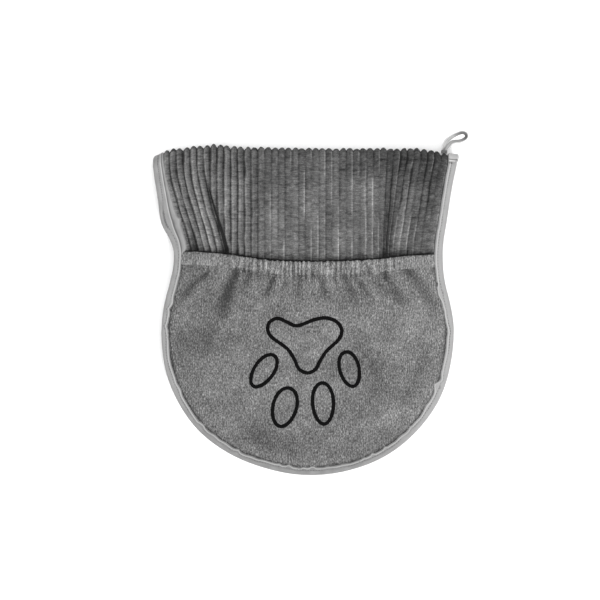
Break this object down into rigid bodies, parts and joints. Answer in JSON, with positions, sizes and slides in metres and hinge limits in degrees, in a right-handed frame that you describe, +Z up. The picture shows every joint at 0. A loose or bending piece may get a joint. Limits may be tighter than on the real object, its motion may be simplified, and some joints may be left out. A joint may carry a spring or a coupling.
{
  "type": "pet drying towel with hand pockets",
  "caption": "Folded microfibre chenille pet drying towel with elastic-mouthed hand pockets, an embroidered paw outline, edge binding and a hanging loop.",
  "frame": {"origin": "on the surface that the towel lies on, on its centre line, midway between the rounded ends and the fold", "axes": "+Z up through the folded layers, +Y from the rounded ends to the fold, +X to the side with the hanging loop"},
  "size_m": [0.376, 0.4147, 0.0276],
  "materials": {
    "chenille": "matte",
    "terry": "matte",
    "hem": "matte",
    "elastic": "matte",
    "binding": "matte",
    "thread": "satin",
    "embroidery": "satin",
    "bartack_thread": "satin"
  },
  "bodies": {
    "back_pocket": {"back_pocket_panel": "terry", "back_pocket_hem": "hem", "back_pocket_elastic": "elastic", "back_hem_seam": "thread", "back_paw_pad": "embroidery", "back_paw_toe_outer_left": "embroidery", "back_paw_toe_inner_left": "embroidery", "back_paw_toe_inner_right": "embroidery", "back_paw_toe_outer_right": "embroidery"},
    "back_half": {"back_chenille_panel": "chenille", "back_edge_binding": "binding", "back_binding_seam": "thread", "fold_chenille": "chenille", "fold_binding_left": "binding", "fold_binding_right": "binding"},
    "front_half": {"front_chenille_panel": "chenille", "front_edge_binding": "binding", "front_binding_seam": "thread", "binding_end_tab": "binding"},
    "front_pocket": {"front_pocket_panel": "terry", "front_pocket_hem": "hem", "front_pocket_elastic": "elastic", "front_hem_seam": "thread", "front_paw_pad": "embroidery", "front_paw_toe_outer_left": "embroidery", "front_paw_toe_inner_left": "embroidery", "front_paw_toe_inner_right": "embroidery", "front_paw_toe_outer_right": "embroidery"},
    "loop_root": {"loop_bartack": "bartack_thread"},
    "hanging_loop": {"hanging_loop": "binding"}
  },
  "joints": [
    {"name": "back_pocket_opens", "type": "hinge", "parent": "back_pocket", "child": "back_half", "pos_m": [0, -0.187, 0.007], "axis": [1, 0, 0], "range_deg": [0, 9]},
    {"name": "centre_fold", "type": "hinge", "parent": "back_half", "child": "front_half", "pos_m": [0, 0.194, 0.0138], "axis": [-1, 0, 0], "range_deg": [0, 180], "deforming": ["fold_chenille", "fold_binding_left", "fold_binding_right"]},
    {"name": "front_pocket_opens", "type": "hinge", "parent": "front_half", "child": "front_pocket", "pos_m": [0, -0.187, 0.0206], "axis": [1, 0, 0], "range_deg": [0, 9]},
    {"name": "loop_follows_fold", "type": "hinge", "parent": "back_half", "child": "loop_root", "pos_m": [0, 0.194, 0.0138], "axis": [-1, 0, 0], "range_deg": [0, 90]},
    {"name": "loop_swing", "type": "hinge", "parent": "loop_root", "child": "hanging_loop", "pos_m": [0.16625, 0.2005, 0.0138], "axis": [1, 0, 0], "range_deg": [-25, 25], "stiffness_Nm_per_rad": 0.002}
  ],
  "couplings": [
    {"joint": "loop_follows_fold", "follows": "centre_fold", "ratio": 0.5}
  ]
}
